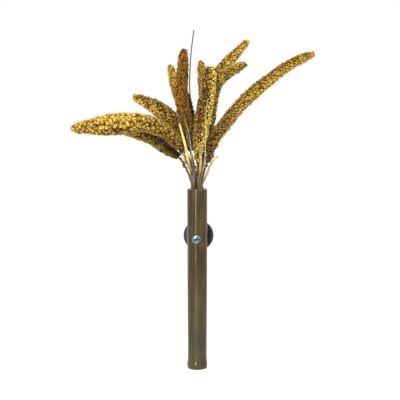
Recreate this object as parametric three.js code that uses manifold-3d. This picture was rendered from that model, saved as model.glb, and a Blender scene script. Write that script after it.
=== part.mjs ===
// Dried foxtail millet standing in a slim bamboo tube, which one screw holds to a round magnet base.
// Millimetres. +Z is up and +Y points into the wall. The origin is the middle of the magnet's back.

import * as THREE from 'three';
import { mergeVertices } from 'three/addons/utils/BufferGeometryUtils.js';
import Module from 'manifold-3d';

// Gap between pieces that touch
const CLEARANCE = 0.3;

// Bamboo tube: open at the mouth, closed near the bottom by the wood of its one node
const TUBE_RADIUS = 10;
const TUBE_WALL = 2.3;
const TUBE_LENGTH = 186;
const MOUTH_ABOVE_SCREW = 50;
const WAIST_DEPTH = 0.4;
const NODE_SWELLING = 0.3;
const NODE_HEIGHT = 10;
const DIAPHRAGM = 3;

// Mounting screw: a pan head with a cross recess, along Y
const SCREW_RADIUS = 2.5;
const HEAD_RADIUS = 4.75;
const HEAD_HEIGHT = 3.4;
const HEAD_DOME = 2.4;
const TIP_CHAMFER = 0.6;
const RECESS_SPAN = 5.4;
const RECESS_WIDTH = 1.3;
const RECESS_DEPTH = 1.9;

// Magnet base: a steel plate with a threaded boss and four magnets in a rubber cover
const COVER_RADIUS = 15.5;
const COVER_WALL = 0.9;
const COVER_ROUNDING = 1.6;
const MAGNET_RADIUS = 4;
const MAGNET_THICKNESS = 1.6;
const MAGNET_COUNT = 4;
const PLATE_THICKNESS = 1.8;
const BOSS_RADIUS = 4;
const BOSS_PROUD = 2.7;

// Millet
const STEM_RADIUS = 1.1;
const STEM_TOP_RADIUS = 0.9;
const LEAF_THICKNESS = 0.7;
const LEAF_DEPTH = 28;
const AWN_RADIUS = 0.45;
const STRAIGHT_ABOVE_MOUTH = 1;
const STRAIGHT_LEAD = 9;
const LEAF_FAN_MIDDLE = 262;
const AWN_DEGREES = 37;

// Facets
const TUBE_SIDES = 36;
const ROUND_SIDES = 28;
const STEM_SIDES = 6;
const STEM_STEPS = 12;
const HEAD_SIDES = 10;
const HEAD_STEPS = 14;
const LEAF_STEPS = 18;
const AWN_STEPS = 14;

// The magnet base's layers, from the wall forward
const MAGNET_BACK = -COVER_WALL - CLEARANCE;
const PLATE_BACK = MAGNET_BACK - MAGNET_THICKNESS - CLEARANCE;
const PLATE_FRONT = PLATE_BACK - PLATE_THICKNESS;
const COVER_FRONT = PLATE_FRONT - CLEARANCE - COVER_WALL;
const BOSS_FRONT = COVER_FRONT - BOSS_PROUD;
const COVER_CAVITY = COVER_RADIUS - COVER_WALL;
const PLATE_RADIUS = COVER_RADIUS - COVER_ROUNDING - CLEARANCE;
const MAGNET_RING = COVER_CAVITY - CLEARANCE - MAGNET_RADIUS;
const SCREW_HOLE = SCREW_RADIUS + CLEARANCE;

// The tube stands against the boss, the screw's head against the tube, and the screw ends level
// with the front of the plate
const TUBE_AXIS = BOSS_FRONT - CLEARANCE - TUBE_RADIUS;
const TUBE_BORE = TUBE_RADIUS - TUBE_WALL;
const SCREW_SEAT = TUBE_AXIS - TUBE_RADIUS - CLEARANCE;
const SCREW_TIP = PLATE_FRONT;

// Seats in the bore: the leaves line its wall, eight stems stand inside them, three in the middle
const INNER_SEATS = 3;
const RING_SEATS = 8;
const LEAF_RADIUS = TUBE_BORE - 2 * CLEARANCE - LEAF_THICKNESS / 2;
const RING_RADIUS = LEAF_RADIUS - LEAF_THICKNESS / 2 - CLEARANCE - STEM_RADIUS;
const INNER_RADIUS = (2 * STEM_RADIUS + CLEARANCE) / Math.sqrt(3);
const FOOT = -MOUTH_ABOVE_SCREW + SCREW_RADIUS + 2 * CLEARANCE;

const wasm = await Module();
wasm.setup();

const MATERIALS = {
  bamboo: { color: 0x5d4a2d, roughness: 0.5, metalness: 0 },
  zinc: { color: 0xb4c0c8, roughness: 0.3, metalness: 1 },
  rubber: { color: 0x17181b, roughness: 0.6, metalness: 0 },
  steel: { color: 0x9a9c9e, roughness: 0.35, metalness: 1 },
  magnet: { color: 0x8c8f92, roughness: 0.3, metalness: 1 },
  stem: { color: 0x8a7440, roughness: 0.7, metalness: 0 },
  grain: { color: 0xb08a3c, roughness: 0.8, metalness: 0 },
  straw: { color: 0xd8c684, roughness: 0.6, metalness: 0 },
  sheath: { color: 0x5a463e, roughness: 0.65, metalness: 0 },
};

function piece(name, geometry, material) {
  const mesh = new THREE.Mesh(geometry, new THREE.MeshStandardMaterial(MATERIALS[material]));
  mesh.name = name;
  return mesh;
}

// A solid turned round +Y, from a closed outline of [radius, along] points
function turned(outline, sides) {
  const points = outline.map(([radius, along]) => new THREE.Vector2(radius, along));
  return new THREE.LatheGeometry(points, sides);
}

function toSolid(geometry) {
  const bare = geometry.clone();
  bare.deleteAttribute('normal');
  bare.deleteAttribute('uv');
  const merged = mergeVertices(bare, 1e-4);
  const vertProperties = new Float32Array(merged.attributes.position.array);
  const triVerts = new Uint32Array(merged.index.array);
  return new wasm.Manifold(new wasm.Mesh({ numProp: 3, vertProperties, triVerts }));
}

function toGeometry(solid) {
  const mesh = solid.getMesh();
  const geometry = new THREE.BufferGeometry();
  geometry.setAttribute('position', new THREE.BufferAttribute(new Float32Array(mesh.vertProperties), 3));
  geometry.setIndex(Array.from(mesh.triVerts));
  return geometry;
}

function bambooTube() {
  const bottom = -TUBE_LENGTH;
  const nodeTop = bottom + NODE_HEIGHT;
  const waist = TUBE_RADIUS - WAIST_DEPTH;
  const swelling = TUBE_RADIUS + NODE_SWELLING;
  const outline = [
    [0, nodeTop - DIAPHRAGM],
    [TUBE_BORE, nodeTop - DIAPHRAGM],
    [TUBE_BORE, bottom],
    [TUBE_RADIUS, bottom],
    [swelling, bottom + NODE_HEIGHT / 4],
    [swelling, bottom + NODE_HEIGHT / 2],
    [waist, nodeTop + NODE_HEIGHT / 4],
    [TUBE_RADIUS, -TUBE_LENGTH / 2],
    [TUBE_RADIUS, 0],
    [TUBE_BORE, 0],
    [TUBE_BORE, nodeTop],
    [0, nodeTop],
  ];
  const geometry = turned(outline, TUBE_SIDES);
  geometry.rotateX(Math.PI / 2);
  geometry.translate(0, TUBE_AXIS, MOUTH_ABOVE_SCREW);
  const drill = new THREE.CylinderGeometry(SCREW_HOLE, SCREW_HOLE, 3 * TUBE_RADIUS, ROUND_SIDES);
  drill.translate(0, TUBE_AXIS, 0);
  return piece('bamboo_tube', toGeometry(toSolid(geometry).subtract(toSolid(drill))), 'bamboo');
}

function mountingScrew() {
  const crown = SCREW_SEAT - HEAD_HEIGHT;
  const outline = [[0, crown]];
  const arcSteps = 5;
  for (let step = 1; step <= arcSteps; step += 1) {
    const angle = (step / arcSteps) * (Math.PI / 2);
    outline.push([HEAD_RADIUS * Math.sin(angle), crown + HEAD_DOME * (1 - Math.cos(angle))]);
  }
  outline.push([HEAD_RADIUS, SCREW_SEAT]);
  outline.push([SCREW_RADIUS, SCREW_SEAT]);
  outline.push([SCREW_RADIUS, SCREW_TIP - TIP_CHAMFER]);
  outline.push([SCREW_RADIUS - TIP_CHAMFER, SCREW_TIP]);
  outline.push([0, SCREW_TIP]);
  const across = new THREE.BoxGeometry(RECESS_SPAN, 2 * RECESS_DEPTH, RECESS_WIDTH);
  const upright = new THREE.BoxGeometry(RECESS_WIDTH, 2 * RECESS_DEPTH, RECESS_SPAN);
  across.translate(0, crown, 0);
  upright.translate(0, crown, 0);
  const recess = toSolid(across).add(toSolid(upright));
  const screw = toSolid(turned(outline, ROUND_SIDES)).subtract(recess);
  return piece('mounting_screw', toGeometry(screw), 'zinc');
}

// The rubber skin goes all round the plate and its magnets, and opens only where the boss comes out
function rubberCover() {
  const bossHole = BOSS_RADIUS + CLEARANCE;
  const flat = COVER_RADIUS - COVER_ROUNDING;
  const outline = [[bossHole, COVER_FRONT], [flat, COVER_FRONT]];
  const arcSteps = 4;
  for (let step = 1; step <= arcSteps; step += 1) {
    const angle = (step / arcSteps) * (Math.PI / 2);
    const radius = flat + COVER_ROUNDING * Math.sin(angle);
    outline.push([radius, COVER_FRONT + COVER_ROUNDING * (1 - Math.cos(angle))]);
  }
  outline.push([COVER_RADIUS, -COVER_WALL / 2]);
  outline.push([COVER_RADIUS - COVER_WALL / 2, 0]);
  outline.push([0, 0]);
  outline.push([0, -COVER_WALL]);
  outline.push([COVER_CAVITY, -COVER_WALL]);
  outline.push([COVER_CAVITY, COVER_FRONT + COVER_ROUNDING]);
  outline.push([flat, COVER_FRONT + COVER_WALL]);
  outline.push([bossHole, COVER_FRONT + COVER_WALL]);
  outline.push([bossHole, COVER_FRONT]);
  return piece('rubber_cover', turned(outline, ROUND_SIDES + 8), 'rubber');
}

function steelPlate() {
  const outline = [
    [SCREW_HOLE, BOSS_FRONT],
    [BOSS_RADIUS, BOSS_FRONT],
    [BOSS_RADIUS, PLATE_FRONT],
    [PLATE_RADIUS, PLATE_FRONT],
    [PLATE_RADIUS, PLATE_BACK],
    [SCREW_HOLE, PLATE_BACK],
    [SCREW_HOLE, BOSS_FRONT],
  ];
  return piece('steel_plate', turned(outline, ROUND_SIDES), 'steel');
}

function magnetDisc(index) {
  const angle = ((index + 0.5) / MAGNET_COUNT) * 2 * Math.PI;
  const disc = new THREE.CylinderGeometry(MAGNET_RADIUS, MAGNET_RADIUS, MAGNET_THICKNESS, ROUND_SIDES);
  const mesh = piece(`magnet_disc_${index + 1}`, disc, 'magnet');
  const middle = MAGNET_BACK - MAGNET_THICKNESS / 2;
  mesh.position.set(MAGNET_RING * Math.cos(angle), middle, MAGNET_RING * Math.sin(angle));
  return mesh;
}

// A seat at an angle in degrees round the tube's axis: 0 is to the right and 270 is to the front
function seat(radius, degrees) {
  const angle = THREE.MathUtils.degToRad(degrees);
  return [radius * Math.cos(angle), radius * Math.sin(angle)];
}

// A path that stands straight in the bore on its seat and leans only above the rim, where it goes
// through points chosen by hand. They are measured from its own seat, level with the rim.
const RIM_POINT = 2;
function route([across, deep], foot, points) {
  const heights = [foot, STRAIGHT_ABOVE_MOUTH - STRAIGHT_LEAD, STRAIGHT_ABOVE_MOUTH];
  const straight = heights.map((height) => [0, 0, height]);
  const vectors = [...straight, ...points].map(([x, y, z]) =>
    new THREE.Vector3(across + x, TUBE_AXIS + deep + y, MOUTH_ABOVE_SCREW + z));
  return new THREE.CatmullRomCurve3(vectors, false, 'centripetal');
}

// The part of a path between two shares of its length
function stretch(path, from, to, count) {
  const points = [];
  for (let step = 0; step <= count; step += 1) {
    points.push(path.getPointAt(from + (to - from) * (step / count)));
  }
  return new THREE.CatmullRomCurve3(points, false, 'centripetal');
}

// The share of a path's length at which it passes its point number index
function shareAt(path, index) {
  const perSpan = 40;
  const lengths = path.getLengths((path.points.length - 1) * perSpan);
  return lengths[index * perSpan] / lengths[lengths.length - 1];
}

// A closed solid along a path. section(u) gives its half width, its half thickness and its turn in
// radians, from u = 0 at the foot to 1 at the tip. Unturned, its broad side faces the front.
function sweep(path, sides, steps, section) {
  const geometry = new THREE.CylinderGeometry(1, 1, 1, sides, steps);
  const position = geometry.attributes.position;
  const depth = new THREE.Vector3(0, 1, 0);
  for (let index = 0; index < position.count; index += 1) {
    const u = THREE.MathUtils.clamp(position.getY(index) + 0.5, 0, 1);
    const { width, thickness, turn } = section(u);
    const tangent = path.getTangentAt(u);
    const broad = new THREE.Vector3().crossVectors(tangent, depth).normalize();
    broad.applyAxisAngle(tangent, turn ?? 0);
    const narrow = new THREE.Vector3().crossVectors(broad, tangent);
    const point = path.getPointAt(u);
    point.addScaledVector(broad, position.getX(index) * width);
    point.addScaledVector(narrow, position.getZ(index) * thickness);
    position.setXYZ(index, point.x, point.y, point.z);
  }
  return geometry;
}

// A seed head swells from its neck to its full radius, then tapers to its tip, and both ends are blunt
function headSection({ full, neck, tip, swell, taper: taperStart = 0.5 }) {
  const roundStart = 0.9;
  const blunt = 0.4;
  return (u) => {
    const share = neck + (1 - neck) * THREE.MathUtils.smoothstep(u, 0, swell);
    const foot = blunt + (1 - blunt) * THREE.MathUtils.smoothstep(u, 0, 1 - roundStart);
    const taper = 1 - (1 - tip) * THREE.MathUtils.smoothstep(u, taperStart, 1);
    const end = Math.max(0, (u - roundStart) / (1 - roundStart));
    const rounding = blunt + (1 - blunt) * Math.sqrt(1 - end * end);
    const radius = full * share * foot * taper * rounding;
    return { width: radius, thickness: radius };
  };
}

function stemSection(u) {
  const radius = THREE.MathUtils.lerp(STEM_RADIUS, STEM_TOP_RADIUS, u);
  return { width: radius, thickness: radius };
}

const inner = (index) => seat(INNER_RADIUS, 15 + (360 / INNER_SEATS) * index);
const ring = (index) => seat(RING_RADIUS, 15 + (360 / RING_SEATS) * index);

// Each stalk: its name, its seat, the points of its bare stem above the mouth and of its seed head
// from base to tip, all measured from the seat, the head's greatest radius, the shares of it left at
// the base and near the tip, how far along the head it reaches its full radius, and where its taper
// begins if that isn't halfway
const STALKS = [
  {
    name: 'low_left', seat: ring(5), full: 10.7, neck: 0.52, tip: 0.45, swell: 0.8, taper: 0.62,
    bare: [[-4.5, -2.5, 20]],
    head: [[-10.5, -8.5, 38], [-15.5, -11.5, 47], [-24, -15, 56], [-34, -18, 62.5], [-44, -22, 66.5],
      [-60, -26, 67.5], [-86, -30, 65], [-118, -32, 62]],
  },
  {
    name: 'under_left', seat: ring(4), full: 7.6, neck: 0.65, tip: 0.6, swell: 0.3,
    bare: [[-5, 3.5, 17]],
    head: [[-14, 7.5, 31], [-29, 9.5, 43], [-44, 9, 53], [-66, 9, 59], [-83, 9, 60]],
  },
  {
    name: 'upper_left', seat: ring(3), full: 8, neck: 0.6, tip: 0.5, swell: 0.4,
    bare: [[-2, 1, 24]],
    head: [[-9.5, 2.5, 44], [-14, 3, 55], [-19.5, 3, 65], [-25.5, 3, 72.5], [-32, 2, 78], [-40, 1, 83.5],
      [-49, 0, 88], [-61, 0, 93]],
  },
  {
    name: 'tall_left', seat: inner(2), full: 6.5, neck: 0.6, tip: 0.68, swell: 0.3,
    bare: [[-2.5, -4.5, 22]],
    head: [[-5.5, -9.5, 39], [-8.5, -12.8, 55], [-10, -14.5, 72], [-13, -15, 86], [-14, -16, 98],
      [-13, -17, 112], [-11, -17, 139]],
  },
  {
    name: 'behind_left', seat: ring(2), full: 5, neck: 0.4, tip: 0.6, swell: 0.3,
    bare: [[-4, 2.5, 24], [-8, 7, 49]],
    head: [[-14.5, 5, 82], [-19, 5, 95], [-22.5, 5, 107], [-27.5, 5, 125]],
  },
  {
    name: 'back_left', seat: inner(1), full: 6, neck: 0.4, tip: 0.6, swell: 0.3,
    bare: [[-1.5, -1, 20]],
    head: [[-5.2, -2.6, 38], [-7, -2.6, 52], [-8, -2.6, 66], [-8, -2, 80], [-11, 0, 97]],
  },
  {
    name: 'back_middle', seat: inner(0), full: 4.6, neck: 0.5, tip: 0.7, swell: 0.3,
    bare: [[-0.5, 3.5, 24], [1.5, 6.5, 49], [4, 9, 72]],
    head: [[4, 9, 85], [4, 10, 100], [3, 10, 113], [1, 10, 129]],
  },
  {
    name: 'middle', seat: ring(6), full: 7.6, neck: 0.45, tip: 0.85, swell: 0.35,
    bare: [[-0.5, 0, 14]],
    head: [[-0.5, -2, 28], [0.5, -5, 41], [3, -8, 58], [6, -10, 75], [9, -11, 90], [11, -12, 105],
      [13, -12, 122]],
  },
  {
    name: 'bent_right', seat: ring(0), full: 7, neck: 0.45, tip: 0.6, swell: 0.35,
    bare: [[0, -1.5, 20]],
    head: [[3, -2, 38], [4, -1, 52], [6, 0, 68], [8, -1, 83], [10, -2, 96], [15, -4, 107], [24, -5, 115],
      [34, -6, 121], [44, -6, 125]],
  },
  {
    name: 'upper_right', seat: ring(1), full: 5.6, neck: 0.4, tip: 0.55, swell: 0.3,
    bare: [[1.5, 0.5, 24], [5, 4, 60]],
    head: [[11, 6, 94], [15, 7, 108], [22, 7, 121], [34, 7, 134], [48, 7, 149]],
  },
  {
    name: 'far_right', seat: ring(7), full: 6, neck: 0.6, tip: 0.7, swell: 0.2,
    bare: [[2.5, -1.5, 16]],
    head: [[6.5, -3.5, 28], [9.5, -5.5, 38], [12.5, -6.5, 49], [20, -7, 61], [28, -8, 71], [38, -9, 83],
      [47, -10, 92], [64, -11, 106.5], [81, -12, 119.5], [96.5, -13, 128.5], [111, -14, 134.5]],
  },
];

function milletStalk(stalk) {
  const path = route(stalk.seat, FOOT, [...stalk.bare, ...stalk.head]);
  const share = shareAt(path, path.points.length - stalk.head.length);
  const stemEnd = share - CLEARANCE / path.getLength();
  const stemPath = stretch(path, 0, stemEnd, 3 * STEM_STEPS);
  const headPath = stretch(path, share, 1, 3 * HEAD_STEPS);
  const head = sweep(headPath, HEAD_SIDES, HEAD_STEPS, headSection(stalk));
  const group = new THREE.Group();
  group.add(piece(`stem_${stalk.name}`, sweep(stemPath, STEM_SIDES, STEM_STEPS, stemSection), 'stem'));
  group.add(piece(`head_${stalk.name}`, head, 'grain'));
  return group;
}

// Each leaf or straw, in its order along the bore's wall from left to right: its width in the bore,
// its greatest width, its width at the tip, its turn at the tip in radians, and its points above the
// mouth, measured from its seat
const LEAVES = [
  {
    name: 'long_straw', material: 'straw', foot: 2, full: 3.4, tip: 2.2, turn: 0.4,
    points: [[0, -4.5, 12], [-2, -12.5, 30], [-4, -20.5, 45], [-7, -24, 58], [-9, -26, 67]],
  },
  {
    name: 'short_straw', material: 'straw', foot: 1.8, full: 1.8, tip: 1, turn: 0,
    points: [[0.5, -3, 12], [0.5, -11, 30], [-0.5, -16, 46], [-3, -18, 61], [-6, -20, 73]],
  },
  {
    name: 'purple_sheath', material: 'sheath', foot: 3, full: 4.6, tip: 1.4, turn: 0,
    points: [[-1, -3, 7], [-0.5, -5.5, 15], [1, -7.5, 25]],
  },
  {
    name: 'curled_leaf', material: 'straw', foot: 1.8, full: 3.6, tip: 1.2, turn: -0.6,
    points: [[2, -2.5, 12], [3.5, -5.5, 24], [4, -9.5, 33], [2.5, -13.5, 42], [0, -15.5, 49]],
  },
  {
    name: 'pale_straw', material: 'straw', foot: 1.8, full: 1.9, tip: 1, turn: 0,
    points: [[3.5, -4, 18], [6.5, -10, 35], [7, -14, 46], [8, -18, 61], [8, -20, 78], [10, -21, 91]],
  },
  {
    name: 'right_leaf', material: 'straw', foot: 2, full: 3.2, tip: 1.4, turn: 0.3,
    points: [[4.5, -3, 13], [9.5, -7, 25], [13, -8, 30.5], [17, -9, 34]],
  },
];

// The leaves stand edge to edge along the wall, each with a clearance to the next
function leafDegrees() {
  const toDegrees = (length) => THREE.MathUtils.radToDeg(length / LEAF_RADIUS);
  const places = [0];
  for (let index = 1; index < LEAVES.length; index += 1) {
    const widths = (LEAVES[index - 1].foot + LEAVES[index].foot) / 2;
    places.push(places[index - 1] + toDegrees(widths + CLEARANCE));
  }
  const start = LEAF_FAN_MIDDLE - places[places.length - 1] / 2;
  return places.map((place) => start + place);
}

function leaf(spec, degrees) {
  const path = route(seat(LEAF_RADIUS, degrees), -LEAF_DEPTH, spec.points);
  const rim = shareAt(path, RIM_POINT);
  const section = (u) => {
    const opening = THREE.MathUtils.smoothstep(u, rim, (1 + rim) / 2);
    const closing = THREE.MathUtils.smoothstep(u, (1 + rim) / 2, 1);
    const width = THREE.MathUtils.lerp(spec.foot, spec.full, opening);
    const seatTurn = THREE.MathUtils.degToRad(degrees - 270) * (1 - opening);
    return {
      width: THREE.MathUtils.lerp(width, spec.tip, closing) / 2,
      thickness: LEAF_THICKNESS / 2,
      turn: seatTurn + spec.turn * closing,
    };
  };
  return piece(spec.name, sweep(path, STEM_SIDES, LEAF_STEPS, section), spec.material);
}

function awn() {
  const points = [[-2.5, -2, 20], [-5.5, -5, 40], [-8, -10, 62], [-10, -13, 80], [-12, -13, 97],
    [-12, -12, 115], [-11, -12, 134], [-8, -12, 158]];
  const path = route(seat(LEAF_RADIUS, AWN_DEGREES), -LEAF_DEPTH, points);
  const section = (u) => {
    const radius = AWN_RADIUS * (1 - 0.45 * u);
    return { width: radius, thickness: radius };
  };
  return piece('awn', sweep(path, STEM_SIDES, AWN_STEPS, section), 'sheath');
}

const bundle = new THREE.Group();
bundle.add(bambooTube());
bundle.add(mountingScrew());
bundle.add(rubberCover());
bundle.add(steelPlate());
for (let index = 0; index < MAGNET_COUNT; index += 1) {
  bundle.add(magnetDisc(index));
}
for (const stalk of STALKS) {
  bundle.add(milletStalk(stalk));
}
leafDegrees().forEach((degrees, index) => {
  bundle.add(leaf(LEAVES[index], degrees));
});
bundle.add(awn());

export default bundle;
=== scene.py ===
"""Dried foxtail millet in a slim bamboo wall tube: the looks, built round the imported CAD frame.

Metres, in the row frame: +Z is up, +Y goes into the wall and +X is to the viewer's right.
Each stem, seed head and leaf follows the centre line and the thickness of its own CAD node.
"""

import math

import bpy
import numpy as np
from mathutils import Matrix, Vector


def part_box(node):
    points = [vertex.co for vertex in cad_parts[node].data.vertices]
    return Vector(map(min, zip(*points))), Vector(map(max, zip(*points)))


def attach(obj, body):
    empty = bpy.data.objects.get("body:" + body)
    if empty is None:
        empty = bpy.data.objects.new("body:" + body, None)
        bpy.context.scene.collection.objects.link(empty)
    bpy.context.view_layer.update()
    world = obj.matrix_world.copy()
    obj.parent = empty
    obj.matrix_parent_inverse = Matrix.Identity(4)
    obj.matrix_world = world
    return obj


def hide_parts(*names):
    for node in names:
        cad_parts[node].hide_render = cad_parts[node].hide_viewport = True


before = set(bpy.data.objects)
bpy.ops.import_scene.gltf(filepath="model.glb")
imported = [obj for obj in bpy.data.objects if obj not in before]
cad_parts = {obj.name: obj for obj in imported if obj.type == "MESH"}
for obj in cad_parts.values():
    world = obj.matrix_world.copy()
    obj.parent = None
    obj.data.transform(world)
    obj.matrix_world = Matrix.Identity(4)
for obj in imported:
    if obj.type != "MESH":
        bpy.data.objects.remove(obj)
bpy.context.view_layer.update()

MM = 0.001
GOLDEN_ANGLE = math.pi * (3 - math.sqrt(5))


# ---------------- numbers and directions

def unit(vectors):
    return vectors / np.linalg.norm(vectors, axis=-1, keepdims=True)


def smoothstep(low, high, value):
    share = np.clip((value - low) / (high - low), 0, 1)
    return share * share * (3 - 2 * share)


def lerp(start, end, share):
    return start + (end - start) * share


def round_angles(sides):
    return np.arange(sides) * 2 * math.pi / sides


WAVES = 5
WAVE_QUICKENING = 1.7
WAVE_FADING = 0.75


def waves(values, random):
    """A smooth random line from about -1 to 1: a few sine waves, each faster and weaker than the last."""
    total = np.zeros_like(values, dtype=float)
    for index in range(WAVES):
        phase = random.uniform(0, 2 * math.pi)
        total += np.sin(values * WAVE_QUICKENING ** index + phase) * WAVE_FADING ** index
    return total / sum(WAVE_FADING ** index for index in range(WAVES))


def between(places, known, rows):
    """Rows of numbers at these places, drawn straight between the rows at the known places."""
    return np.array([np.interp(places, known, column) for column in rows.T]).T


def srgb(red, green, blue):
    """The linear colour, with alpha, that shows as these 0 to 255 display values."""
    def linear(value):
        share = value / 255
        return share / 12.92 if share <= 0.04045 else ((share + 0.055) / 1.055) ** 2.4
    return (linear(red), linear(green), linear(blue), 1.0)


# ---------------- measuring the CAD nodes

def joined_mesh(name):
    """A CAD node's points with doubles joined, and its triangles as point numbers."""
    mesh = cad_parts[name].data
    raw = np.array([vertex.co for vertex in mesh.vertices])
    points, number = np.unique(np.round(raw, 7), axis=0, return_inverse=True)
    triangles = np.array([list(face.vertices) for face in mesh.polygons])
    return points, number.reshape(-1)[triangles]


FLAT_COSINE = 0.9999


def rings_of(name):
    """The rings of points round a swept CAD node, from its foot to its tip. They are found by walking
    the triangles, a layer at a time, from the middle of the flat cap at the foot."""
    points, triangles = joined_mesh(name)
    corners = points[triangles]
    normals = unit(np.cross(corners[:, 1] - corners[:, 0], corners[:, 2] - corners[:, 0]))
    cap_centres = []
    for index in range(len(points)):
        around = normals[(triangles == index).any(axis=1)]
        if (around @ around[0]).min() > FLAT_COSINE:
            cap_centres.append(index)
    foot = min(cap_centres, key=lambda index: np.linalg.norm(points[index] - TUBE_FOOT))
    layers = [{foot}]
    seen = {foot}
    while layers[-1]:
        touching = np.isin(triangles, list(layers[-1])).any(axis=1)
        layers.append(set(triangles[touching].ravel()) - seen)
        seen |= layers[-1]
    return [points[sorted(layer)] for layer in layers[1:-2]]


def curve_through(points, steps):
    """A smooth curve through points, at step values that count them from 0."""
    last = len(points) - 1
    start = np.clip(np.floor(steps).astype(int), 0, last - 1)
    share = (steps - start)[:, None]
    before = points[np.clip(start - 1, 0, last)]
    here = points[start]
    there = points[start + 1]
    after = points[np.clip(start + 2, 0, last)]
    return here + share / 2 * (there - before + share * (
        2 * before - 5 * here + 4 * there - after + share * (3 * (here - there) + after - before)))


SPINE_STEPS = 240


class Spine:
    """The centre line of a swept CAD node from its foot to its tip, with its half width there and two
    directions across it. A flat node's first direction follows its broad side."""

    def __init__(self, name, flat=False):
        rings = rings_of(name)
        centres = np.array([ring.mean(axis=0) for ring in rings])
        half = [np.linalg.norm(ring - ring.mean(axis=0), axis=1).max() for ring in rings]
        numbers = np.arange(len(rings))
        steps = np.linspace(0, len(rings) - 1, SPINE_STEPS)
        self.points = curve_through(centres, steps)
        self.tangents = unit(np.gradient(self.points, axis=0))
        self.half = np.interp(steps, numbers, half)
        self.across = self.steady(between(steps, numbers, self.broad_sides(rings)) if flat else None)
        self.over = np.cross(self.tangents, self.across)
        gaps = np.linalg.norm(np.diff(self.points, axis=0), axis=1)
        self.places = np.concatenate([[0], np.cumsum(gaps)])
        self.length = self.places[-1]

    @staticmethod
    def broad_sides(rings):
        found = []
        for ring in rings:
            spread = ring - ring.mean(axis=0)
            axis = np.linalg.eigh(spread.T @ spread)[1][:, -1]
            if found and axis @ found[-1] < 0:
                axis = -axis
            found.append(axis)
        found = np.array(found)
        return found if found[0][0] > 0 else -found

    def steady(self, wanted):
        """Directions square to the tangents: the wanted ones, or one carried along without twisting."""
        side = np.cross(self.tangents[0], [0, 1, 0])
        sides = []
        for index, tangent in enumerate(self.tangents):
            if wanted is not None:
                side = wanted[index]
            side = unit(side - tangent * (side @ tangent))
            sides.append(side)
        return np.array(sides)

    def half_at(self, places):
        return np.interp(places, self.places, self.half)

    def at(self, places):
        """The points, tangents, two cross directions and half widths at distances from the foot."""
        points = between(places, self.places, self.points)
        directions = [unit(between(places, self.places, rows))
                      for rows in (self.tangents, self.across, self.over)]
        return points, *directions, self.half_at(places)


def corners_of(name):
    low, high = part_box(name)
    return np.array(low), np.array(high)


tube_low, tube_high = corners_of("bamboo_tube")
TUBE_MIDDLE = (tube_low + tube_high) / 2
TUBE_FOOT = np.array([TUBE_MIDDLE[0], TUBE_MIDDLE[1], tube_low[2]])


# ---------------- meshes

def add_object(name, data):
    thing = bpy.data.objects.new(name, data)
    bpy.context.scene.collection.objects.link(thing)
    return thing


class Shape:
    """One mesh, gathered part by part, with a UV map of its own and named values at its points."""

    def __init__(self):
        self.points = []
        self.sizes = []
        self.corners = []
        self.uvs = []
        self.slots = []
        self.values = {}
        self.count = 0

    def add(self, points, faces, uvs, slot=0, **values):
        """points is (n, 3). faces is a list of (m, k) point numbers, and uvs has a (m, k, 2) for each."""
        points = points.reshape(-1, 3)
        for corner_numbers, places in zip(faces, uvs):
            self.sizes.append(np.full(len(corner_numbers), corner_numbers.shape[1]))
            self.corners.append((corner_numbers + self.count).ravel())
            self.uvs.append(places.reshape(-1, 2))
            self.slots.append(np.full(len(corner_numbers), slot))
        for name, value in values.items():
            rows = self.values.setdefault(name, [])
            rows.append(np.broadcast_to(np.asarray(value, float).ravel(), len(points)))
        self.points.append(points)
        self.count += len(points)

    def build(self, name, materials, smooth_angle=None):
        """Makes the object, smooth but for the edges that turn by more than smooth_angle."""
        sizes = np.concatenate(self.sizes)
        corners = np.concatenate(self.corners)
        mesh = bpy.data.meshes.new(name)
        mesh.vertices.add(self.count)
        mesh.vertices.foreach_set("co", np.concatenate(self.points).ravel())
        mesh.loops.add(len(corners))
        mesh.loops.foreach_set("vertex_index", corners)
        mesh.polygons.add(len(sizes))
        mesh.polygons.foreach_set("loop_start", np.cumsum(sizes) - sizes)
        mesh.polygons.foreach_set("material_index", np.concatenate(self.slots))
        layer = mesh.uv_layers.new(name="OFBake")
        layer.uv.foreach_set("vector", np.concatenate(self.uvs).ravel())
        for value_name, rows in self.values.items():
            attribute = mesh.attributes.new(value_name, "FLOAT", "POINT")
            attribute.data.foreach_set("value", np.concatenate(rows))
        for material in materials:
            mesh.materials.append(material)
        mesh.update(calc_edges=True)
        mesh.validate()
        mesh.shade_smooth()
        if smooth_angle is not None:
            mesh.set_sharp_from_angle(angle=smooth_angle)
        return add_object(name, mesh)


WHOLE_UV = (0, 0, 1, 1)
CAP_UV = 0.04


def closed_skin(sides, v):
    """The faces and UVs of a closed skin over rings of points and the two end points that follow them
    in the list. v has the UV height of one end, of each ring and of the other end."""
    spokes = np.arange(sides)
    after = (spokes + 1) % sides

    def cells(*corners):
        """The UVs of one face for each side, from each corner's step round the side and its height."""
        return np.stack([np.stack([(spokes + step) / sides, np.full(sides, height)], axis=-1)
                         for step, height in corners], axis=1)

    rows = len(v) - 2
    last = (rows - 1) * sides
    foot = rows * sides
    faces, uvs = [], []
    for row in range(rows - 1):
        here, there = row * sides, (row + 1) * sides
        faces.append(np.stack([here + spokes, here + after, there + after, there + spokes], axis=-1))
        uvs.append(cells((0, v[row + 1]), (1, v[row + 1]), (1, v[row + 2]), (0, v[row + 2])))
    faces.append(np.stack([np.full(sides, foot), after, spokes], axis=-1))
    uvs.append(cells((0.5, v[0]), (1, v[1]), (0, v[1])))
    faces.append(np.stack([last + spokes, last + after, np.full(sides, foot + 1)], axis=-1))
    uvs.append(cells((0, v[-2]), (1, v[-2]), (0.5, v[-1])))
    return faces, uvs


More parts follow.
